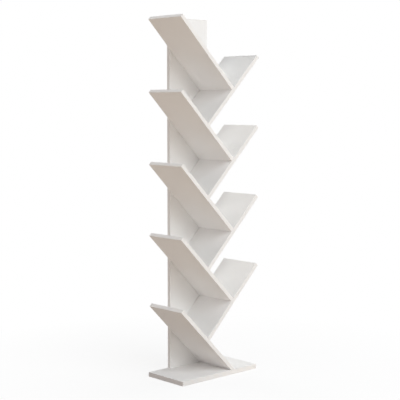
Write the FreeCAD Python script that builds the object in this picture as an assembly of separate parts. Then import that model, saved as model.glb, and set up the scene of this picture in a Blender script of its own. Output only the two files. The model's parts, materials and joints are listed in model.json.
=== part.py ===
import FreeCAD, Part
import math
import os

from FreeCAD import Placement, Rotation, Vector

# A tree shaped bookshelf: nine sloping shelves stand on one another in a zigzag,
# leaning left and right by turns, in front of a narrow back panel on a flat base.
# Millimetres, +Z up, front towards -Y, origin under the middle of the base.

# Boards
board_thickness = 15.0           # shelves and back panel
base_thickness = 18.0
base_width = 400.0
back_width = 200.0
back_rise = 3.0                  # back panel's top above the highest shelf tip
shelf_length = 375.0             # along the underside, from foot to tip
shelf_depth = 185.0              # from the front edge to the back panel
shelf_slope = 45.0               # degrees from level
left_shelf_count = 5             # one right shelf stands between each two of them

# Edge bands glued round the boards
band_thickness = 1.0
arris_radius = 0.8               # rounding of the trimmed band
band_margin = 0.1                # least part of the band's thickness that stays unrounded

# Dowels that join each shelf to the one below
dowel_diameter = 8.0
dowel_length = 30.0
dowel_in_face = 10.0             # length of it in the face of the shelf below
dowel_inset = 45.0               # from the shelf's front and rear edges
dowel_chamfer = 1.0

# Dowels between the lowest shelf's mitred foot and the base
foot_dowel_diameter = 6.0
foot_dowel_length = 20.0
foot_dowel_in_base = 11.0
foot_dowel_offset = 6.0          # from the corner of the shelf's underside

# Connecting screws through the back panel and the base
screw_diameter = 7.0
screw_length = 50.0
screw_head_diameter = 10.0
screw_head_rim = 1.0
screw_head_sink = 0.4            # head below the board's surface
screw_tip_diameter = 3.0
screw_tip_length = 5.0
socket_width = 4.0               # hexagon socket, across flats
socket_depth = 3.0
screw_from_foot = 60.0           # inner screw of a shelf, along the shelf from its foot
screw_from_side = 22.0           # outer screw of a shelf, from the back panel's side
base_screw_from_side = 30.0      # outer base screws, from the back panel's side

# Pilot holes in the rear face for a wall strap
pilot_diameter = 3.0
pilot_depth = 10.0
pilot_spacing = 64.0
pilot_below_top = 40.0

# Clearances
hole_clearance = 0.1             # radial room round a dowel or a screw
end_clearance = 1.0              # room past the end of a dowel or a screw

# Places worked out from the sizes above
slope = math.radians(shelf_slope)
reach = board_thickness          # how far a cutting shape goes past a surface
arris = min(arris_radius, band_thickness - band_margin)
base_depth = shelf_depth + board_thickness
front_y = -base_depth / 2
back_face_y = front_y + shelf_depth
rear_y = base_depth / 2
foot_width = board_thickness / math.sin(2 * slope)
foot_distance = (shelf_length - foot_width) / 2
shelf_rise = math.sin(slope) * (foot_distance + foot_width)
foot_x = math.cos(slope) * (foot_distance - foot_width) / 2
shelf_count = 2 * left_shelf_count - 1
tip_height = shelf_length * math.sin(slope) + board_thickness * math.cos(slope)
back_top = base_thickness + (shelf_count - 1) * shelf_rise + tip_height + back_rise

# A shelf is drawn lying flat, X along it from its foot and Y from front to rear.
# This place tilts it to lean right, with the foot of its underside at height 0.
shelf_place = Placement(Vector(-foot_x, front_y, 0), Rotation(Vector(0, 1, 0), -shelf_slope))


def mirrored(shape):
    return shape.mirror(Vector(0, 0, 0), Vector(1, 0, 0))


def on_level(shape, level):
    """Move a shape of a right-leaning shelf to its level; even levels lean left."""
    if level % 2 == 0:
        shape = mirrored(shape)
    return shape.translated(Vector(0, 0, base_thickness + level * shelf_rise))


def placed(shape, place):
    shape = shape.copy()
    shape.Placement = place.multiply(shape.Placement)
    return shape


def lathe(profile):
    """Turn (radius, height) points round the Z axis."""
    points = [Vector(radius, 0, height) for radius, height in profile]
    face = Part.Face(Part.makePolygon(points + points[:1]))
    return face.revolve(Vector(0, 0, 0), Vector(0, 0, 1), 360)


def box(low, high):
    size = high - low
    return Part.makeBox(size.x, size.y, size.z, low)


def drilled(shape, holes):
    near = [hole for hole in holes if hole.BoundBox.intersect(shape.BoundBox)]
    return shape.cut(near) if near else shape


def solids_of(shapes):
    return Part.makeCompound([solid for shape in shapes for solid in shape.Solids])


def rounded(board, is_free):
    """Round the edges whose middle passes the test."""
    edges = [edge for edge in board.Edges if is_free(edge.CenterOfMass)]
    return board.makeFillet(arris, edges)


def core_and_bands(board, band_boxes, holes):
    """Split a board into its core and the bands inside the given boxes, and drill both."""
    bands = [drilled(board.common(band_box), holes) for band_box in band_boxes]
    core = drilled(board.cut(band_boxes), holes)
    return solids_of([core]), solids_of(bands)


# Fasteners


def screw_form(room, above, below):
    """Round outline of a screw along +Z from its head, with room round it and at its ends."""
    head = screw_head_diameter / 2 + room
    shank = screw_diameter / 2 + room
    tip = screw_tip_diameter / 2 + room
    cone_end = screw_head_rim + head - shank
    end = screw_length + below
    return lathe([
        (0, -above),
        (head, -above),
        (head, screw_head_rim),
        (shank, cone_end),
        (shank, screw_length - screw_tip_length),
        (tip, end),
        (0, end),
    ])


def screw():
    radius = socket_width / math.sqrt(3)
    corners = [Vector(radius, 0, 0)]
    for corner in range(1, 6):
        corners.append(Rotation(Vector(0, 0, 1), 60 * corner).multVec(corners[0]))
    hexagon = Part.Face(Part.makePolygon(corners + corners[:1]))
    return screw_form(0, 0, 0).cut(hexagon.extrude(Vector(0, 0, socket_depth))).Solids[0]


def screw_hole():
    return screw_form(hole_clearance, screw_head_sink + reach, end_clearance)


def dowel(diameter, length):
    radius = diameter / 2
    slim = radius - dowel_chamfer
    return lathe([
        (0, 0),
        (slim, 0),
        (radius, dowel_chamfer),
        (radius, length - dowel_chamfer),
        (slim, length),
        (0, length),
    ])


def dowel_hole(diameter, length):
    start = Vector(0, 0, -end_clearance)
    return Part.makeCylinder(diameter / 2 + hole_clearance, length + 2 * end_clearance, start)


# Where the fasteners of one right-leaning shelf sit

dowel_rows = (dowel_inset, shelf_depth - dowel_inset)


def shelf_dowel_places():
    """Dowels along the shelf, through the middle of its foot into the shelf below."""
    foot_middle = -board_thickness / math.tan(2 * slope) / 2
    turn = Rotation(Vector(0, 1, 0), 90)
    start = foot_middle - dowel_in_face
    lying = [Placement(Vector(start, y, board_thickness / 2), turn) for y in dowel_rows]
    return [shelf_place.multiply(place) for place in lying]


def foot_dowel_places():
    """Upright dowels out of the base into the lowest shelf's foot."""
    x = -foot_x - foot_dowel_offset
    return [Placement(Vector(x, front_y + y, -foot_dowel_in_base), Rotation()) for y in dowel_rows]


def shelf_screw_places():
    """Screws from the back panel's rear face into the shelf's rear edge."""
    half = board_thickness / 2
    outer_x = back_width / 2 - screw_from_side
    screw_to_side = (outer_x + foot_x + half * math.sin(slope)) / math.cos(slope)
    turn = Rotation(Vector(1, 0, 0), 90)
    places = []
    for along in (screw_from_foot, screw_to_side):
        point = shelf_place.multVec(Vector(along, 0, half))
        point.y = rear_y - screw_head_sink
        places.append(Placement(point, turn))
    return places


def base_screw_places():
    """Screws from under the base into the back panel's lower edge."""
    outer_x = back_width / 2 - base_screw_from_side
    y = (back_face_y + rear_y) / 2
    return [Placement(Vector(x, y, screw_head_sink), Rotation()) for x in (-outer_x, 0, outer_x)]


shelf_dowels = [placed(dowel(dowel_diameter, dowel_length), place) for place in shelf_dowel_places()]
shelf_dowel_holes = [
    placed(dowel_hole(dowel_diameter, dowel_length), place) for place in shelf_dowel_places()
]
foot_dowels = [
    placed(dowel(foot_dowel_diameter, foot_dowel_length), place) for place in foot_dowel_places()
]
foot_dowel_holes = [
    placed(dowel_hole(foot_dowel_diameter, foot_dowel_length), place) for place in foot_dowel_places()
]
shelf_screws = [placed(screw(), place) for place in shelf_screw_places()]
shelf_screw_holes = [placed(screw_hole(), place) for place in shelf_screw_places()]
base_screws = [placed(screw(), place) for place in base_screw_places()]
base_screw_holes = [placed(screw_hole(), place) for place in base_screw_places()]

levels = range(shelf_count)
lowest = 0
highest = shelf_count - 1


# Shelves


def shelf_board(foot_angle):
    """A flat shelf whose foot is cut to meet its support at the given angle and stays sharp."""
    foot_top = -board_thickness / math.tan(foot_angle)
    outline = [
        Vector(0, 0, 0),
        Vector(shelf_length, 0, 0),
        Vector(shelf_length, 0, board_thickness),
        Vector(foot_top, 0, board_thickness),
    ]
    side = Part.Face(Part.makePolygon(outline + outline[:1]))
    board = side.extrude(Vector(0, shelf_depth, 0))
    return rounded(board, lambda middle: middle.x > board_thickness)


def shelf_band_boxes():
    """Boxes round the front, rear and tip bands; the long bands cover the tip band's ends."""
    foot = -board_thickness / math.tan(slope) - reach
    tip = shelf_length + reach
    low = -reach
    high = board_thickness + reach
    front_inner = band_thickness
    rear_inner = shelf_depth - band_thickness
    return [
        box(Vector(foot, low, low), Vector(tip, front_inner, high)),
        box(Vector(foot, rear_inner, low), Vector(tip, shelf_depth + reach, high)),
        box(Vector(shelf_length - band_thickness, front_inner, low), Vector(tip, rear_inner, high)),
    ]


def shelf(level):
    """Core and bands of one shelf, with the holes of its own foot and of the next shelf's."""
    foot_angle = slope if level == lowest else 2 * slope
    holes = list(shelf_screw_holes)
    holes += foot_dowel_holes if level == lowest else shelf_dowel_holes
    if level != highest:
        next_foot = Vector(0, 0, shelf_rise)
        holes += [mirrored(hole).translated(next_foot) for hole in shelf_dowel_holes]
    board = placed(shelf_board(foot_angle), shelf_place)
    boxes = [placed(band_box, shelf_place) for band_box in shelf_band_boxes()]
    core, bands = core_and_bands(board, boxes, holes)
    return on_level(core, level), on_level(bands, level)


# Base and back panel


def base():
    half = base_width / 2
    board = box(Vector(-half, front_y, 0), Vector(half, rear_y, base_thickness))
    board = rounded(board, lambda middle: True)
    low = -reach
    high = base_thickness + reach
    outer = half + reach
    inner = half - band_thickness
    front_inner = front_y + band_thickness
    rear_inner = rear_y - band_thickness
    boxes = [
        box(Vector(-outer, front_y - reach, low), Vector(outer, front_inner, high)),
        box(Vector(-outer, rear_inner, low), Vector(outer, rear_y + reach, high)),
        box(Vector(-outer, front_inner, low), Vector(-inner, rear_inner, high)),
        box(Vector(inner, front_inner, low), Vector(outer, rear_inner, high)),
    ]
    holes = base_screw_holes + [on_level(hole, lowest) for hole in foot_dowel_holes]
    return core_and_bands(board, boxes, holes)


def pilot_holes():
    z = back_top - pilot_below_top
    inward = Vector(0, -1, 0)
    length = pilot_depth + reach
    holes = []
    for x in (-pilot_spacing / 2, pilot_spacing / 2):
        mouth = Vector(x, rear_y + reach, z)
        holes.append(Part.makeCylinder(pilot_diameter / 2, length, mouth, inward))
    return holes


def back_panel():
    half = back_width / 2
    board = box(Vector(-half, back_face_y, base_thickness), Vector(half, rear_y, back_top))
    board = rounded(board, lambda middle: middle.z > base_thickness + band_thickness)
    front = back_face_y - reach
    rear = rear_y + reach
    foot = base_thickness - reach
    top = back_top + reach
    outer = half + reach
    inner = half - band_thickness
    top_inner = back_top - band_thickness
    boxes = [
        box(Vector(-outer, front, foot), Vector(-inner, rear, top)),
        box(Vector(inner, front, foot), Vector(outer, rear, top)),
        box(Vector(-inner, front, top_inner), Vector(inner, rear, top)),
    ]
    holes = base_screw_holes + pilot_holes()
    for level in levels:
        holes += [on_level(hole, level) for hole in shelf_screw_holes]
    return core_and_bands(board, boxes, holes)


# Every node, by name

nodes = {}


def add_board(name, core_with_bands):
    core, bands = core_with_bands
    nodes[name] = core
    nodes[name + "_edging"] = bands


def group(shapes, on_levels):
    return Part.makeCompound([on_level(shape, level) for level in on_levels for shape in shapes])


add_board("base_board", base())
add_board("back_panel", back_panel())
for level in levels:
    side = "left" if level % 2 == 0 else "right"
    add_board(f"{side}_shelf_{level // 2 + 1}", shelf(level))

nodes["shelf_dowels"] = group(shelf_dowels, levels[1:])
nodes["foot_dowels"] = group(foot_dowels, [lowest])
nodes["shelf_screws"] = group(shelf_screws, levels)
nodes["base_screws"] = Part.makeCompound(base_screws)

os.makedirs("parts", exist_ok=True)
for name, shape in nodes.items():
    shape.exportStep(f"parts/{name}.step")
    print(name, len(shape.Solids), "solids,", round(shape.Volume / 1000, 2), "cm3, valid", shape.isValid())
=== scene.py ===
# %% [markdown]
# # A tree shaped bookshelf in white board
# The object is a slim bookshelf: a base board, one upright back panel, and nine shelves that lean left
# and right in turn, like branches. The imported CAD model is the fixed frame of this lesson. It already
# has every board and edge band at its true size and place, in metres, so Blender is left with the
# looks: the finishes, finer screws and dowels, the floor, the light and the camera.

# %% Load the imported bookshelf
import json
import math

import bmesh
import bpy
from mathutils import Euler, Matrix, Vector

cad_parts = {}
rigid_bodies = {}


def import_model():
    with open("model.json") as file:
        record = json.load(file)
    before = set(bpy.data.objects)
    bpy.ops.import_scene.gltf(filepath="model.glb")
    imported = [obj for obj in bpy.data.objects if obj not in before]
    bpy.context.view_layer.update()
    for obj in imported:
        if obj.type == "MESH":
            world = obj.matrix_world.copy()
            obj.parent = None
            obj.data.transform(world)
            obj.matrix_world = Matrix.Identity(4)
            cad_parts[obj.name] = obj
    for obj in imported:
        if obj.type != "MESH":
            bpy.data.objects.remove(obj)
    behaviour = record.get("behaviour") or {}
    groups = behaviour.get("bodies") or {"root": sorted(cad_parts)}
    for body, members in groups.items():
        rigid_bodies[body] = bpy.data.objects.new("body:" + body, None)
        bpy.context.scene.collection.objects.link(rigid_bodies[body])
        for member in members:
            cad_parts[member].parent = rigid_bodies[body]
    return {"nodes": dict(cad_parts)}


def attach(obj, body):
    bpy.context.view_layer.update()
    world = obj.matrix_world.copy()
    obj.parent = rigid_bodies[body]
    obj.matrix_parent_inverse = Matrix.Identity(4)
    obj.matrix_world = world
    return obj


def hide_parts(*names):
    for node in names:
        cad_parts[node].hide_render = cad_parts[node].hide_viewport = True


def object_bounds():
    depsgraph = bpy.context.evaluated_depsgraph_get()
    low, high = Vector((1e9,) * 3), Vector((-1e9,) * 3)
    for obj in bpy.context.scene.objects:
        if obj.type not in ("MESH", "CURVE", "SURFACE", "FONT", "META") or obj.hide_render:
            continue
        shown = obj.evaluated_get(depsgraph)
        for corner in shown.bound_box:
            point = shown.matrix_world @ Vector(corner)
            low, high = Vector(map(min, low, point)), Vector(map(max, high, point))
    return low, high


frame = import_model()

MM = 0.001


def in_mm(box):
    """Give the two corners of a box in millimetres, for printing."""
    return [[round(side / MM, 1) for side in corner] for corner in box]


cad_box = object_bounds()
nodes = frame["nodes"]
print(len(nodes), "CAD nodes, box in mm:", in_mm(cad_box))

# %% [markdown]
# ## Two helpers for materials
# Colours are written as the hex values that a colour picker shows, but shaders add up light, so each one
# is turned from sRGB to linear first. Materials are wired by hand in the Shader Editor as a rule. In a
# script one small function does that: it adds a node, sets it, and gives each input a value or a link.

# %% Hex colours and nodes
def linear(hex_colour):
    """Turn an sRGB hex colour into linear red, green, blue and alpha."""
    levels = [int(hex_colour[place:place + 2], 16) / 255 for place in (1, 3, 5)]
    return [
        level / 12.92 if level <= 0.04045 else ((level + 0.055) / 1.055) ** 2.4
        for level in levels
    ] + [1]


def add_node(tree, kind, inputs, **settings):
    """Add a node with its settings, and give each named input a value or another node's output."""
    node = tree.nodes.new(kind)
    for name, value in settings.items():
        setattr(node, name, value)
    for name, value in inputs.items():
        if isinstance(value, bpy.types.NodeSocket):
            tree.links.new(value, node.inputs[name])
        else:
            node.inputs[name].default_value = value
    return node


# A Mix node keeps a set of sockets for each kind of data, and these are the ones for colours
MIX_FACTOR, MIX_FIRST, MIX_SECOND, MIX_RESULT = 0, 6, 7, 2

print("mid grey #808080 is", round(linear("#808080")[0], 3), "in linear light")

# %% [markdown]
# ## The four ways a board lies
# The base lies flat, the back panel stands, and the shelves lean 45 degrees to the left or the right.
# A finish has to know which way its board faces: the white paper covers only the two wide faces, and the
# bare core shows wherever a hole or an end goes through. The alternative is one UV map per board, but
# the direction of each board is enough, and it goes straight into a Mapping node.

# %% Directions of the boards
LEAN = math.radians(45)
UP = Vector((0, 0, 1))
board_faces = {
    "flat": UP,
    "upright": Vector((0, 1, 0)),
    "leaning_left": Vector((math.sin(LEAN), 0, math.cos(LEAN))),
    "leaning_right": Vector((-math.sin(LEAN), 0, math.cos(LEAN))),
}


def way_of(node_name):
    """Say which way the board or band of a CAD node lies."""
    for start, way in (("base", "flat"), ("back", "upright"), ("left", "leaning_left")):
        if node_name.startswith(start):
            return way
    return "leaning_right"


for way, face in board_faces.items():
    print(way, "faces along", [round(part, 2) for part in face])

# %% [markdown]
# ## White melamine faced board
# The boards are chipboard with a white paper soaked in melamine resin pressed onto both wide faces. The
# press plate leaves a fine pearl grain, so the surface is white and flat but breaks up reflections, and
# the chips below give the white a very faint cloudiness. The core is tan chips in glue. A picture of a
# real board could give all this, but noise and cells of the right size need no file and never repeat.

# %% Make the board finish
board_white = linear("#F6F5F3")
board_cloud = linear("#F2F1EF")
chip_light = linear("#C9AC82")
chip_dark = linear("#94744C")
PEARL_GRAIN = 4 * MM             # really near 1 mm, drawn coarser so that it shows in the render
PEARL_HEIGHT = 0.01 * MM
PEARL_ROUGHNESS = (0.5, 0.64)    # in the pits of the grain and on its tops
PAPER_CLOUD = 70 * MM
CHIP_SIZE = (4 * MM, 4 * MM, 1.5 * MM)
BOARD_SHINE = 0.3                # below the usual 0.5, as the grain breaks up the shine at low angles
FACING_LIMIT = 0.7               # cosine of the angle up to which a surface faces along a direction


def melamine_board(name, face):
    """Melamine faced chipboard whose wide faces point along a direction and against it."""
    material = bpy.data.materials.new(name)
    material.use_nodes = True
    tree = material.node_tree
    shader = tree.nodes["Principled BSDF"]
    shader.inputs["Specular IOR Level"].default_value = BOARD_SHINE
    place = add_node(tree, "ShaderNodeTexCoord", {}).outputs["Object"]
    turn = UP.rotation_difference(face).to_euler()

    # The paper: white with faint clouds, and a pearl grain that also varies the gloss
    cloud_place = add_node(tree, "ShaderNodeMapping", {"Vector": place, "Scale": [PAPER_CLOUD] * 3},
                           vector_type="TEXTURE")
    clouds = add_node(tree, "ShaderNodeTexNoise",
                      {"Vector": cloud_place.outputs[0], "Scale": 1, "Detail": 4, "Roughness": 0.6})
    paper = add_node(tree, "ShaderNodeMix",
                     {MIX_FACTOR: clouds.outputs[0], MIX_FIRST: board_white, MIX_SECOND: board_cloud},
                     data_type="RGBA")
    grain_place = add_node(tree, "ShaderNodeMapping", {"Vector": place, "Scale": [PEARL_GRAIN] * 3},
                           vector_type="TEXTURE")
    grain = add_node(tree, "ShaderNodeTexNoise",
                     {"Vector": grain_place.outputs[0], "Scale": 1, "Detail": 2})
    gloss = add_node(tree, "ShaderNodeMapRange",
                     {"Value": grain.outputs[0],
                      "To Min": PEARL_ROUGHNESS[0], "To Max": PEARL_ROUGHNESS[1]})

    # The core: flat chips that lie in the plane of the board
    chip_place = add_node(tree, "ShaderNodeMapping",
                          {"Vector": place, "Rotation": turn, "Scale": CHIP_SIZE}, vector_type="TEXTURE")
    chips = add_node(tree, "ShaderNodeTexVoronoi", {"Vector": chip_place.outputs[0], "Scale": 1})
    shade = add_node(tree, "ShaderNodeSeparateColor", {"Color": chips.outputs["Color"]})
    core = add_node(tree, "ShaderNodeMix",
                    {MIX_FACTOR: shade.outputs[0], MIX_FIRST: chip_light, MIX_SECOND: chip_dark},
                    data_type="RGBA")

    # The paper covers only what faces along the board's own direction
    normal = add_node(tree, "ShaderNodeNewGeometry", {}).outputs["True Normal"]
    along = add_node(tree, "ShaderNodeVectorMath", {0: normal, 1: face}, operation="DOT_PRODUCT")
    size = add_node(tree, "ShaderNodeMath", {0: along.outputs["Value"]}, operation="ABSOLUTE")
    faced = add_node(tree, "ShaderNodeMath", {0: size.outputs[0], 1: FACING_LIMIT},
                     operation="GREATER_THAN")
    colour = add_node(tree, "ShaderNodeMix",
                      {MIX_FACTOR: faced.outputs[0], MIX_FIRST: core.outputs[MIX_RESULT],
                       MIX_SECOND: paper.outputs[MIX_RESULT]}, data_type="RGBA")
    relief = add_node(tree, "ShaderNodeBump", {"Height": grain.outputs[0], "Distance": PEARL_HEIGHT})
    tree.links.new(colour.outputs[MIX_RESULT], shader.inputs["Base Color"])
    tree.links.new(gloss.outputs[0], shader.inputs["Roughness"])
    tree.links.new(relief.outputs[0], shader.inputs["Normal"])
    return material


board_finish = {way: melamine_board("white_melamine_board_" + way, face)
                for way, face in board_faces.items()}
print("board finishes:", ", ".join(board_finish))

# %% [markdown]
# ## White edge band
# Every open edge is closed by a 1 mm strip of white ABS, extruded, glued on hot and rounded over with a
# scraper. Extrusion leaves it smoother than the paper, with very fine lines along its length, and it is a
# little cleaner in colour than the board. Stretched noise gives the lines: in a frame turned with the
# board it is long in the board's plane and narrow across its thickness, and so fits every strip.

# %% Make the band finish
band_white = linear("#F7F6F4")
band_line = linear("#F3F1EE")
LINE_SIZE = (90 * MM, 90 * MM, 2 * MM)       # really near 0.3 mm across, drawn coarser to show
LINE_HEIGHT = 0.005 * MM
LINE_ROUGHNESS = (0.38, 0.5)     # between the lines and on them
BAND_IOR = 1.52


def edge_band(name, face):
    """Extruded plastic strip on the edge of a board that faces a direction."""
    material = bpy.data.materials.new(name)
    material.use_nodes = True
    tree = material.node_tree
    shader = tree.nodes["Principled BSDF"]
    shader.inputs["IOR"].default_value = BAND_IOR
    place = add_node(tree, "ShaderNodeTexCoord", {}).outputs["Object"]
    turn = UP.rotation_difference(face).to_euler()
    line_place = add_node(tree, "ShaderNodeMapping",
                          {"Vector": place, "Rotation": turn, "Scale": LINE_SIZE}, vector_type="TEXTURE")
    lines = add_node(tree, "ShaderNodeTexNoise",
                     {"Vector": line_place.outputs[0], "Scale": 1, "Detail": 3})
    colour = add_node(tree, "ShaderNodeMix",
                      {MIX_FACTOR: lines.outputs[0], MIX_FIRST: band_white, MIX_SECOND: band_line},
                      data_type="RGBA")
    gloss = add_node(tree, "ShaderNodeMapRange",
                     {"Value": lines.outputs[0],
                      "To Min": LINE_ROUGHNESS[0], "To Max": LINE_ROUGHNESS[1]})
    relief = add_node(tree, "ShaderNodeBump", {"Height": lines.outputs[0], "Distance": LINE_HEIGHT})
    tree.links.new(colour.outputs[MIX_RESULT], shader.inputs["Base Color"])
    tree.links.new(gloss.outputs[0], shader.inputs["Roughness"])
    tree.links.new(relief.outputs[0], shader.inputs["Normal"])
    return material


band_finish = {way: edge_band("white_abs_edge_band_" + way, face)
               for way, face in board_faces.items()}
print("band finishes:", ", ".join(band_finish))

# %% [markdown]
# ## Dress the boards and bands
# The CAD boards and bands have the right shape, down to the rounded edges, so they stay as they are. Each
# one only gets the finish for the way it lies, in the material slots that it came with.

# %% Put the finishes on
for node_name, node in nodes.items():
    if node_name.endswith(("_dowels", "_screws")):
        continue
    finish = band_finish if node_name.endswith("_edging") else board_finish
    for material_slot in node.material_slots:
        material_slot.material = finish[way_of(node_name)]
    print(node_name, "wears", node.material_slots[0].material.name)

# %% [markdown]
# ## Where the screws and dowels sit
# The CAD has plain stand-ins for the screws and dowels. Finer ones go exactly where those are, so their
# places are measured. A CAD mesh is loose triangles: a copy of it is merged and separated into loose
# parts, each part is one screw or dowel, and then the copies are thrown away.

# %% Measure the stand-ins
MERGE_DISTANCE = 0.001 * MM
PLACE_DIGITS = 4                 # decimals of a metre that count when solids are put in order


def select_only(*objects):
    """Leave just these objects selected, with the first one active."""
    bpy.ops.object.select_all(action="DESELECT")
    for chosen in objects:
        chosen.select_set(True)
    bpy.context.view_layer.objects.active = objects[0]


def solids_in(node_name):
    """Give the corner points of each separate solid in a CAD node, lowest solid first."""
    copy = bpy.data.objects.new("measured_copy", nodes[node_name].data.copy())
    bpy.context.collection.objects.link(copy)
    select_only(copy)
    bpy.ops.object.mode_set(mode="EDIT")
    bpy.ops.mesh.select_all(action="SELECT")
    bpy.ops.mesh.remove_doubles(threshold=MERGE_DISTANCE)
    bpy.ops.mesh.separate(type="LOOSE")
    bpy.ops.object.mode_set(mode="OBJECT")
    parts = list(bpy.context.selected_objects)
    solids = [[vertex.co.copy() for vertex in part.data.vertices] for part in parts]
    for part in parts:
        bpy.data.objects.remove(part)
    solids.sort(key=lambda points: (round(points[0].z, PLACE_DIGITS), round(points[0].x, PLACE_DIGITS)))
    return solids


def box_of(points):
    """Lowest and highest corner of some points."""
    return Vector(map(min, zip(*points))), Vector(map(max, zip(*points)))


screw_solids = {name: solids_in(name) for name in ("shelf_screws", "base_screws")}
dowel_solids = {name: solids_in(name) for name in ("shelf_dowels", "foot_dowels")}
for name, solids in {**screw_solids, **dowel_solids}.items():
    print(name, "has", len(solids), "solids")

# %% [markdown]
# ## One connecting screw: socket and head
# A connecting screw for chipboard has a flat head with a hexagon socket, a cone below it, a plain collar
# and a coarse thread. A turned profile could be spun, but the socket isn't round, so the screw is drawn
# out ring by ring from the floor of the socket: a hexagon is pulled up as the socket's wall, made round
# with To Sphere, and pulled out to the rim and back along the shank.

# %% Draw the socket, head and shank
HEAD_RADIUS = 5 * MM
SHANK_RADIUS = 3.5 * MM
CORE_RADIUS = 2.5 * MM
SCREW_LENGTH = 50 * MM
SOCKET_SIDES = 6
SOCKET_WIDTH = 4 * MM            # across the flats of the hexagon
SOCKET_RADIUS = SOCKET_WIDTH / math.sqrt(3)  # from its middle to a corner
SOCKET_DEPTH = 3 * MM
SOCKET_EDGE = 0.25 * MM          # bevel at the mouth of the socket
SOCKET_RING = 0.75 * MM          # from the socket's corners to where the hexagon has turned round
SOCKET_CUTS = 3                  # extra points on each side of the hexagon, for the way to a round
HEAD_ROUND = 0.4 * MM
HEAD_HEIGHT = 1 * MM
CONE_END = 2.5 * MM
COLLAR_END = 12 * MM
CORE_START = 13.2 * MM
POINT_START = 44.5 * MM
TIP_RADIUS = 0.6 * MM
TIP_CHAMFER = 0.8 * MM


def draw_ring_to(height, radius):
    """Extrude the selected ring of edges to another height and radius round the Z axis."""
    mesh = bmesh.from_edit_mesh(bpy.context.object.data)
    ring = [vertex.co for vertex in mesh.verts if vertex.select]
    rise = height - ring[0].z
    growth = radius / max(point.xy.length for point in ring)
    bpy.ops.mesh.extrude_edges_move(TRANSFORM_OT_translate={"value": (0, 0, rise)})
    bpy.ops.transform.resize(value=(growth, growth, 1), center_override=(0, 0, 0))


bpy.ops.object.select_all(action="DESELECT")
bpy.ops.mesh.primitive_circle_add(vertices=SOCKET_SIDES, radius=SOCKET_RADIUS, fill_type="NGON",
                                  location=(0, 0, SOCKET_DEPTH))
screw = bpy.context.object
bpy.ops.object.transform_apply(location=True)
bpy.ops.object.mode_set(mode="EDIT")
bpy.ops.mesh.select_mode(type="EDGE")
bpy.ops.mesh.select_all(action="SELECT")
bpy.ops.mesh.subdivide(number_cuts=SOCKET_CUTS)
bpy.ops.mesh.select_all(action="SELECT")
draw_ring_to(SOCKET_EDGE, SOCKET_RADIUS)
draw_ring_to(0, SOCKET_RADIUS + SOCKET_EDGE)
draw_ring_to(0, SOCKET_RADIUS + SOCKET_RING)
bpy.ops.transform.tosphere(value=1)
rim_middle = HEAD_ROUND * (1 - math.sqrt(0.5))
head_and_shank = [
    (0, HEAD_RADIUS - HEAD_ROUND),
    (rim_middle, HEAD_RADIUS - rim_middle),
    (HEAD_ROUND, HEAD_RADIUS),
    (HEAD_HEIGHT, HEAD_RADIUS),
    (CONE_END, SHANK_RADIUS),
    (COLLAR_END, SHANK_RADIUS),
    (CORE_START, CORE_RADIUS),
    (POINT_START, CORE_RADIUS),
    (SCREW_LENGTH - TIP_CHAMFER, TIP_RADIUS + TIP_CHAMFER),
    (SCREW_LENGTH, TIP_RADIUS),
]
for height, radius in head_and_shank:
    draw_ring_to(height, radius)
bpy.ops.mesh.edge_face_add()
bpy.ops.object.mode_set(mode="OBJECT")
print("screw body:", len(screw.data.vertices), "points,", len(screw.data.polygons), "faces")

# %% [markdown]
# ## The screw's thread
# The thread is a ridge that winds round the core, 3 mm further along with each turn. A spin tool could
# wind it, but the Screw modifier does just this: it carries a small outline round an axis and along it.
# The outline is a plane stood on edge beside the core, with its outer side narrowed to the crest.

# %% Wind the thread and join it on
PITCH = 3 * MM
THREAD_TURNS = 10
THREAD_START = 14.2 * MM
THREAD_FOOT = 1.3 * MM           # width of the ridge at the core
CREST_SHARE = 0.25               # width of its crest beside that
STEPS_PER_TURN = 16
ROOT_SINK = 0.2 * MM             # how far the ridge starts inside the core, so that no gap shows
ROOT_RADIUS = CORE_RADIUS - ROOT_SINK
QUARTER_TURN = math.radians(90)
SCREW_SMOOTH = math.radians(35)
ridge_middle = (ROOT_RADIUS + SHANK_RADIUS) / 2

bpy.ops.object.select_all(action="DESELECT")
bpy.ops.mesh.primitive_plane_add(size=1, rotation=(QUARTER_TURN, 0, 0),
                                 location=(ridge_middle, 0, THREAD_START))
thread = bpy.context.object
thread.scale = (SHANK_RADIUS - ROOT_RADIUS, THREAD_FOOT, 1)
bpy.ops.object.transform_apply(location=True, rotation=True, scale=True)
bpy.ops.object.mode_set(mode="EDIT")
bpy.ops.mesh.select_mode(type="VERT")
bpy.ops.mesh.select_all(action="DESELECT")
outline = bmesh.from_edit_mesh(thread.data)
for corner in outline.verts:
    corner.select_set(corner.co.x > ridge_middle)
bmesh.update_edit_mesh(thread.data)
bpy.ops.transform.resize(value=(1, 1, CREST_SHARE), center_override=(SHANK_RADIUS, 0, THREAD_START))
bpy.ops.mesh.select_all(action="SELECT")
bpy.ops.mesh.delete(type="ONLY_FACE")
bpy.ops.object.mode_set(mode="OBJECT")
winding = thread.modifiers.new("winding", "SCREW")
winding.screw_offset = PITCH
winding.iterations = THREAD_TURNS
winding.steps = STEPS_PER_TURN
winding.render_steps = STEPS_PER_TURN
bpy.ops.object.modifier_apply(modifier=winding.name)
bpy.ops.object.mode_set(mode="EDIT")
bpy.ops.mesh.select_all(action="SELECT")
bpy.ops.mesh.fill_holes(sides=4)             # the two ends of the ridge have four sides each
bpy.ops.object.mode_set(mode="OBJECT")
select_only(screw, thread)
bpy.ops.object.join()
bpy.ops.object.mode_set(mode="EDIT")
bpy.ops.mesh.select_all(action="SELECT")
bpy.ops.mesh.normals_make_consistent(inside=False)
bpy.ops.object.mode_set(mode="OBJECT")
bpy.ops.object.shade_smooth_by_angle(angle=SCREW_SMOOTH)
print("whole screw:", len(screw.data.polygons), "faces")

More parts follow.
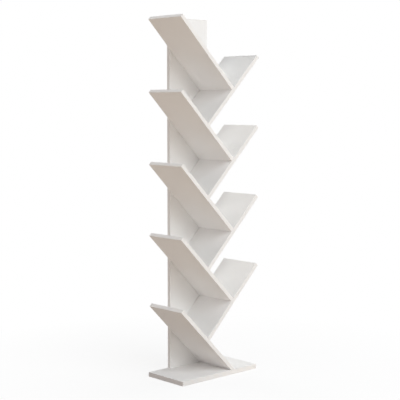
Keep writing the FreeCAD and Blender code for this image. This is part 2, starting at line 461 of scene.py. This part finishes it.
# %% [markdown]
# ## Zinc plated steel
# The screws are steel with a bright zinc plating. It is a pale blue grey metal with a soft gloss, and the
# plating bath leaves it slightly mottled. Each copy keeps its own place as an attribute, so the
# mottling follows the screw however it is turned.

# %% Make the zinc finish
zinc_light = linear("#C9CCCE")
zinc_dark = linear("#B3B7BB")
MOTTLE = 1.5 * MM
ZINC_ROUGHNESS = (0.22, 0.38)    # in the light spots and in the dark ones

zinc = bpy.data.materials.new("zinc_plated_steel")
zinc.use_nodes = True
tree = zinc.node_tree
shader = tree.nodes["Principled BSDF"]
shader.inputs["Metallic"].default_value = 1
own_place = add_node(tree, "ShaderNodeAttribute", {}, attribute_name="own_place").outputs["Vector"]
mottle_place = add_node(tree, "ShaderNodeMapping", {"Vector": own_place, "Scale": [MOTTLE] * 3},
                        vector_type="TEXTURE")
mottle = add_node(tree, "ShaderNodeTexNoise",
                  {"Vector": mottle_place.outputs[0], "Scale": 1, "Detail": 3})
plating = add_node(tree, "ShaderNodeMix",
                   {MIX_FACTOR: mottle.outputs[0], MIX_FIRST: zinc_light, MIX_SECOND: zinc_dark},
                   data_type="RGBA")
gloss = add_node(tree, "ShaderNodeMapRange",
                 {"Value": mottle.outputs[0], "To Min": ZINC_ROUGHNESS[0], "To Max": ZINC_ROUGHNESS[1]})
tree.links.new(plating.outputs[MIX_RESULT], shader.inputs["Base Color"])
tree.links.new(gloss.outputs[0], shader.inputs["Roughness"])
print("made", zinc.name)

# %% [markdown]
# ## Set the screws in their holes
# One screw is modelled, and the rest are copies with their own mesh, turned and moved inside the mesh so
# that every object stays at the origin. The shelf screws go in from behind, so their heads are at the
# rear end of the measured boxes. The base screws go up into the panel, so theirs are at the low end.

# %% Copy the screw to every place
COPY_SHIFT = 40 * MM             # moves the pattern on, from one copy to the next


def set_copies(model, name, places, finish):
    """Copy a modelled piece to each place with its own mesh, and join the copies as one piece."""
    copies = []
    for number, place in enumerate(places):
        mesh = model.data.copy()
        pattern = mesh.attributes.new("own_place", "FLOAT_VECTOR", "POINT")
        for vertex, value in zip(mesh.vertices, pattern.data):
            value.vector = vertex.co + UP * COPY_SHIFT * number
        mesh.transform(place)
        mesh.materials.clear()
        mesh.materials.append(finish)
        copy = bpy.data.objects.new(name, mesh)
        bpy.context.collection.objects.link(copy)
        copies.append(copy)
    select_only(*copies)
    bpy.ops.object.join()
    return copies[0]


from_behind = Matrix.Rotation(QUARTER_TURN, 4, "X")
shelf_places = []
for points in screw_solids["shelf_screws"]:
    low, high = box_of(points)
    middle = (low + high) / 2
    shelf_places.append(Matrix.Translation((middle.x, high.y, middle.z)) @ from_behind)
base_places = []
for points in screw_solids["base_screws"]:
    low, high = box_of(points)
    middle = (low + high) / 2
    base_places.append(Matrix.Translation((middle.x, middle.y, low.z)))

shelf_screws = set_copies(screw, "shelf_connecting_screws", shelf_places, zinc)
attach(shelf_screws, "root")
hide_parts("shelf_screws")
base_screws = set_copies(screw, "base_connecting_screws", base_places, zinc)
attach(base_screws, "root")
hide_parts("base_screws")
bpy.data.objects.remove(screw)
for piece in (shelf_screws, base_screws):
    print(piece.name, "has", len(piece.data.polygons), "faces")

# %% [markdown]
# ## Fluted beech dowels
# The shelves stand on each other with glued beech dowels. A real dowel has flutes that let air and glue
# out of the hole, and a chamfer at each end to start it. A plain cylinder is the start: every third
# line of points is pressed in for a flute, and both ends are drawn out to a smaller round.

# %% Model the two sizes of dowel
FLUTES = 16
POINTS_PER_FLUTE = 3
FLUTE_SHARE = 0.93               # radius at the bottom of a flute
DOWEL_CHAMFER = 1 * MM
DOWEL_SMOOTH = math.radians(20)
SHELF_DOWEL_RADIUS = 4 * MM
SHELF_DOWEL_LENGTH = 30 * MM
FOOT_DOWEL_RADIUS = 3 * MM
FOOT_DOWEL_LENGTH = 20 * MM


def fluted_dowel(name, radius, length):
    """One dowel along the Z axis, centred on the origin."""
    bpy.ops.object.select_all(action="DESELECT")
    points_round = FLUTES * POINTS_PER_FLUTE
    bpy.ops.mesh.primitive_cylinder_add(vertices=points_round, radius=radius,
                                        depth=length - 2 * DOWEL_CHAMFER)
    dowel = bpy.context.object
    dowel.name = name
    bpy.ops.object.mode_set(mode="EDIT")
    bpy.ops.mesh.select_mode(type="VERT")
    bpy.ops.mesh.select_all(action="DESELECT")
    mesh = bmesh.from_edit_mesh(dowel.data)
    for vertex in mesh.verts:
        step = round(math.atan2(vertex.co.y, vertex.co.x) / (2 * math.pi) * points_round)
        vertex.select_set(step % POINTS_PER_FLUTE == 0)
    bmesh.update_edit_mesh(dowel.data)
    bpy.ops.transform.resize(value=(FLUTE_SHARE, FLUTE_SHARE, 1), center_override=(0, 0, 0))
    narrowing = 1 - DOWEL_CHAMFER / radius
    for end in (1, -1):
        bpy.ops.mesh.select_mode(type="FACE")
        bpy.ops.mesh.select_all(action="DESELECT")
        mesh = bmesh.from_edit_mesh(dowel.data)
        for face in mesh.faces:
            face.select_set(face.normal.z * end > FACING_LIMIT)
        bmesh.update_edit_mesh(dowel.data)
        bpy.ops.mesh.extrude_region_move(TRANSFORM_OT_translate={"value": (0, 0, end * DOWEL_CHAMFER)})
        bpy.ops.transform.resize(value=(narrowing, narrowing, 1), center_override=(0, 0, 0))
    bpy.ops.object.mode_set(mode="OBJECT")
    bpy.ops.object.shade_smooth_by_angle(angle=DOWEL_SMOOTH)
    return dowel


shelf_dowel = fluted_dowel("shelf_dowel_model", SHELF_DOWEL_RADIUS, SHELF_DOWEL_LENGTH)
foot_dowel = fluted_dowel("foot_dowel_model", FOOT_DOWEL_RADIUS, FOOT_DOWEL_LENGTH)
print("one dowel has", len(shelf_dowel.data.polygons), "faces")

# %% [markdown]
# ## Beech
# Beech is a pale pinkish brown wood with fine straight grain and short darker flecks. It is sanded and
# left bare, so it is dull. The grain runs along the dowel: the noise is stretched along the axis in the
# dowel's own place, which each copy carries as an attribute.

# %% Make the beech finish
beech_light = linear("#DDBB91")
beech_dark = linear("#BE9467")
GRAIN_SIZE = (0.8 * MM, 0.8 * MM, 14 * MM)
GRAIN_HEIGHT = 0.015 * MM
BEECH_ROUGHNESS = (0.62, 0.78)   # in the light wood and in the dark flecks

beech = bpy.data.materials.new("bare_beech")
beech.use_nodes = True
tree = beech.node_tree
shader = tree.nodes["Principled BSDF"]
own_place = add_node(tree, "ShaderNodeAttribute", {}, attribute_name="own_place").outputs["Vector"]
grain_place = add_node(tree, "ShaderNodeMapping", {"Vector": own_place, "Scale": GRAIN_SIZE},
                       vector_type="TEXTURE")
grain = add_node(tree, "ShaderNodeTexNoise", {"Vector": grain_place.outputs[0], "Scale": 1, "Detail": 4})
wood = add_node(tree, "ShaderNodeMix",
                {MIX_FACTOR: grain.outputs[0], MIX_FIRST: beech_light, MIX_SECOND: beech_dark},
                data_type="RGBA")
gloss = add_node(tree, "ShaderNodeMapRange",
                 {"Value": grain.outputs[0], "To Min": BEECH_ROUGHNESS[0], "To Max": BEECH_ROUGHNESS[1]})
relief = add_node(tree, "ShaderNodeBump", {"Height": grain.outputs[0], "Distance": GRAIN_HEIGHT})
tree.links.new(wood.outputs[MIX_RESULT], shader.inputs["Base Color"])
tree.links.new(gloss.outputs[0], shader.inputs["Roughness"])
tree.links.new(relief.outputs[0], shader.inputs["Normal"])
print("made", beech.name)

# %% [markdown]
# ## Set the dowels in the joints
# A shelf dowel lies along the shelf that stands on it, so it leans left or right. Its stand-in tells
# which: where the points further right are also higher, it leans to the right. The two dowels under the
# lowest shelf stand upright, and there neither is the case.

# %% Copy the dowels to every joint
def dowel_place(points):
    """Find the middle of a dowel and the way it leans."""
    low, high = box_of(points)
    middle = (low + high) / 2
    climb = sum((point.x - middle.x) * (point.z - middle.z) for point in points)
    spread = sum((point.z - middle.z) ** 2 for point in points)
    lean = LEAN * round(climb / spread)
    return Matrix.Translation(middle) @ Matrix.Rotation(lean, 4, "Y")


shelf_dowel_places = [dowel_place(points) for points in dowel_solids["shelf_dowels"]]
shelf_dowels = set_copies(shelf_dowel, "fluted_shelf_dowels", shelf_dowel_places, beech)
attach(shelf_dowels, "root")
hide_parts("shelf_dowels")
foot_dowel_places = [dowel_place(points) for points in dowel_solids["foot_dowels"]]
foot_dowels = set_copies(foot_dowel, "fluted_foot_dowels", foot_dowel_places, beech)
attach(foot_dowels, "root")
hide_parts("foot_dowels")
for model in (shelf_dowel, foot_dowel):
    bpy.data.objects.remove(model)
for piece in (shelf_dowels, foot_dowels):
    print(piece.name, "has", len(piece.data.polygons), "faces")

# %% [markdown]
# ## A pale floor
# The bookshelf stands on a plain floor that melts into a white background. A lit floor would only be as
# white as its colour, and turning up the lamps until it clips would burn out the shelf. So the camera
# sees mostly a glow of strength 1, which is white, and near the shelf a share of lit white floor that
# keeps the shadow. All other light meets a beige floor, which sends a warm glow up to the undersides.
# A patch at the left, beside the lowest shelf, sends up less of it, as that shelf is darker in the
# photograph: it is a painted shadow of the shelf, in the colour that only reflected light meets.

# %% Lay the floor
# The first colour is a painted shadow: darker floor beside the lowest shelf, met only by reflected light
floor_painted_shadow = linear("#958576")
floor_far = linear("#D7C7B6")
pure_white = linear("#FFFFFF")
FLOOR_SIDE = 60
FLOOR_DROP = 0.2 * MM            # keeps the floor clear of the base board's underside
# The patch placed here is a painted shadow, not a real mark on the floor
PAINTED_SHADOW_PLACE = (-0.32, 0.05, 0)   # middle of the darker patch, beside the base board's left end
PAINTED_SHADOW_NEAR = 0.12                # metres from there at which the floor starts to turn light
PAINTED_SHADOW_FAR = 0.45                 # metres from there at which it is all light
SHADOW_SHARE = 0.2               # of the lit floor in what the camera sees, under the shelf
SHADOW_REACH = 1.2               # metres from the shelf at which that share has faded out

bpy.ops.object.select_all(action="DESELECT")
bpy.ops.mesh.primitive_plane_add(size=FLOOR_SIDE, location=(0, 0, -FLOOR_DROP))
floor = bpy.context.object
floor.name = "studio_floor"


def seen_directly(tree):
    """A factor that is 1 for rays from the camera, off polished things or through clear ones."""
    path = add_node(tree, "ShaderNodeLightPath", {})
    seen = path.outputs["Is Camera Ray"]
    for other in ("Is Glossy Ray", "Is Transmission Ray"):
        either = add_node(tree, "ShaderNodeMath", {0: seen, 1: path.outputs[other]}, operation="MAXIMUM")
        seen = either.outputs[0]
    return seen


floor_finish = bpy.data.materials.new("pale_studio_floor")
floor_finish.use_nodes = True
tree = floor_finish.node_tree
shader = tree.nodes["Principled BSDF"]
shader.inputs["Roughness"].default_value = 1
shader.inputs["Specular IOR Level"].default_value = 0
lit_white = add_node(tree, "ShaderNodeBsdfDiffuse", {"Color": pure_white})
glow = add_node(tree, "ShaderNodeEmission", {"Color": pure_white, "Strength": 1})
place = add_node(tree, "ShaderNodeTexCoord", {}).outputs["Object"]
distance = add_node(tree, "ShaderNodeVectorMath", {0: place}, operation="LENGTH")
from_painted_shadow = add_node(tree, "ShaderNodeVectorMath", {0: place, 1: PAINTED_SHADOW_PLACE}, operation="DISTANCE")
away = add_node(tree, "ShaderNodeMapRange",
                {"Value": from_painted_shadow.outputs["Value"], "From Min": PAINTED_SHADOW_NEAR, "From Max": PAINTED_SHADOW_FAR})
# The colour for reflected light turns from the painted shadow to the plain beige floor
bounce_with_painted_shadow = add_node(tree, "ShaderNodeMix",
                  {MIX_FACTOR: away.outputs[0], MIX_FIRST: floor_painted_shadow, MIX_SECOND: floor_far},
                  data_type="RGBA")
tree.links.new(bounce_with_painted_shadow.outputs[MIX_RESULT], shader.inputs["Base Color"])
fade = add_node(tree, "ShaderNodeMapRange",
                {"Value": distance.outputs["Value"], "From Max": SHADOW_REACH,
                 "To Min": SHADOW_SHARE, "To Max": 0})
white_floor = add_node(tree, "ShaderNodeMixShader",
                       {0: fade.outputs[0], 1: glow.outputs[0], 2: lit_white.outputs[0]})
whole_floor = add_node(tree, "ShaderNodeMixShader",
                       {0: seen_directly(tree), 1: shader.outputs[0], 2: white_floor.outputs[0]})
tree.links.new(whole_floor.outputs[0], tree.nodes["Material Output"].inputs["Surface"])
floor.data.materials.append(floor_finish)
print("floor of", FLOOR_SIDE, "m, shadow fades out at", SHADOW_REACH, "m")

# %% [markdown]
# ## Soft studio light
# The light is broad and soft, from large softboxes that stand far away, so that the lowest shelf gets
# as much as the highest. The main one is at the front, high up, and a weaker one is lower at its left.
# Two at the right fill the forks between the shelves, where white boards pass the light on to each
# other. The left stays dim and a little warm, which leaves the undersides in soft shade, and one behind
# lights the rear of the panel. The world itself lights nothing: it is only seen, as the white background.

# %% Light the studio
world = bpy.data.worlds.new("white_studio")
bpy.context.scene.world = world
world.use_nodes = True
tree = world.node_tree
backdrop = tree.nodes["Background"]
backdrop.inputs["Color"].default_value = pure_white
tree.links.new(seen_directly(tree), backdrop.inputs["Strength"])

LIGHT_DISTANCE = 20
shelf_middle = (cad_box[0] + cad_box[1]) / 2
softboxes = [
    # name, degrees from the front round to the right, degrees up, width, height, watts, colour
    ("front_high_box", 0, 40, 14, 14, 2680, "#F7FBFF"),
    ("front_left_box", -20, 25, 14, 14, 880, "#FFFFFF"),
    ("right_box", 90, 8, 14, 8, 1150, "#F4F9FF"),
    ("right_high_box", 90, 65, 14, 14, 1020, "#FFFDFA"),
    ("left_box", -90, 8, 14, 8, 770, "#FFF5F5"),
    ("rear_box", 180, 8, 8, 8, 2000, "#FFFFFF"),
]
for name, round_from_front, up, width, height, watts, colour in softboxes:
    lamp = bpy.data.lights.new(name, "AREA")
    lamp.shape = "RECTANGLE"
    lamp.size = width
    lamp.size_y = height
    lamp.energy = watts
    lamp.color = linear(colour)[:3]
    softbox = bpy.data.objects.new(name, lamp)
    turn = Euler((math.radians(90 - up), 0, math.radians(round_from_front)))
    softbox.rotation_euler = turn
    softbox.location = shelf_middle + turn.to_matrix() @ UP * LIGHT_DISTANCE
    softbox.visible_camera = False
    softbox.visible_glossy = False           # polished zinc shows the white background instead
    bpy.context.collection.objects.link(softbox)
    print(name, watts, "W at", [round(part, 1) for part in softbox.location])

# %% [markdown]
# ## The camera
# The photograph looks at the shelf from its front left, from about four metres away and a little
# above the middle, with a long lens. Place, turn and lens were worked out from the corners of the
# boards, so a corner of the model falls where the same corner is in the picture.

# %% Set the camera
CAMERA_PLACE = (-2.7656, -2.9422, 1.0628)
CAMERA_TURN = math.radians(-43.046)          # from straight ahead to the right
CAMERA_TILT = math.radians(5.262)            # below the level
SENSOR_WIDTH = 36                            # millimetres, as are all lenses in Blender
LENS = 92.85
camera_data = bpy.data.cameras.new("photo_camera")
camera_data.sensor_width = SENSOR_WIDTH
camera_data.lens = LENS
camera = bpy.data.objects.new("photo_camera", camera_data)
camera.location = CAMERA_PLACE
camera.rotation_euler = Euler((QUARTER_TURN - CAMERA_TILT, 0, CAMERA_TURN))
bpy.context.collection.objects.link(camera)
bpy.context.scene.camera = camera
bpy.context.scene.view_settings.view_transform = "Standard"
print("camera", round((Vector(CAMERA_PLACE) - shelf_middle).length, 2), "m from the shelf's middle")
